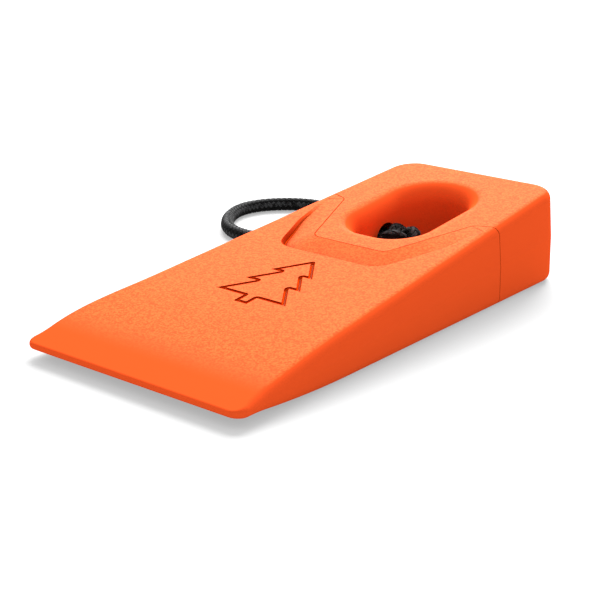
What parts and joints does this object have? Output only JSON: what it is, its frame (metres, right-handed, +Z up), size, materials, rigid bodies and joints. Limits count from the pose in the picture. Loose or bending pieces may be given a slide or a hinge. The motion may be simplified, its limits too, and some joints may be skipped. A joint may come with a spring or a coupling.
{
  "type": "felling wedge",
  "caption": "Plastic driving wedge for tree felling, with a textured blade, overmoulded striking head, finger slot and a braided carrying loop knotted in the slot.",
  "frame": {"origin": "on the lower driving face, on the centreline, within 1 mm of halfway along the wedge's length", "axes": "+Y towards the striking head and -Y towards the thin tip, +Z up from the lower face it rests on, -X towards the side the cord leaves"},
  "size_m": [0.1823, 0.2233, 0.0387],
  "materials": {
    "blade": "hard glass-filled nylon, fine spark-eroded grain on the faces, smooth tip and sides",
    "head": "tougher nylon, fine spark-eroded grain on the faces, smooth sides",
    "cord": "black diamond-braided polyester cord"
  },
  "bodies": {
    "wedge": {"blade": "blade", "striking_head": "head"},
    "cord_slider": {"cord_knot": "cord", "cord_run_front": "cord", "cord_run_rear": "cord"},
    "cord_root": {"cord_root_front": "cord", "cord_root_rear": "cord"},
    "cord_loop": {"cord_leg_front": "cord", "cord_leg_rear": "cord"},
    "cord_end": {"cord_bight": "cord"}
  },
  "joints": [
    {"name": "cord_draw", "type": "slide", "parent": "wedge", "child": "cord_slider", "axis": [1, 0, 0], "range_m": [0, 0.012]},
    {"name": "loop_lift", "type": "hinge", "parent": "cord_slider", "child": "cord_root", "pos_m": [-0.059, 0.0587, 0.01635], "axis": [0, 1, 0], "range_deg": [-55, 85]},
    {"name": "loop_sweep", "type": "hinge", "parent": "cord_root", "child": "cord_loop", "pos_m": [-0.0735, 0.0587, 0.012], "axis": [0, 0, 1], "range_deg": [-15, 45]},
    {"name": "loop_fold", "type": "hinge", "parent": "cord_loop", "child": "cord_end", "pos_m": [-0.106, 0.0587, 0.00305], "axis": [0, 1, 0], "range_deg": [-90, 90]}
  ]
}
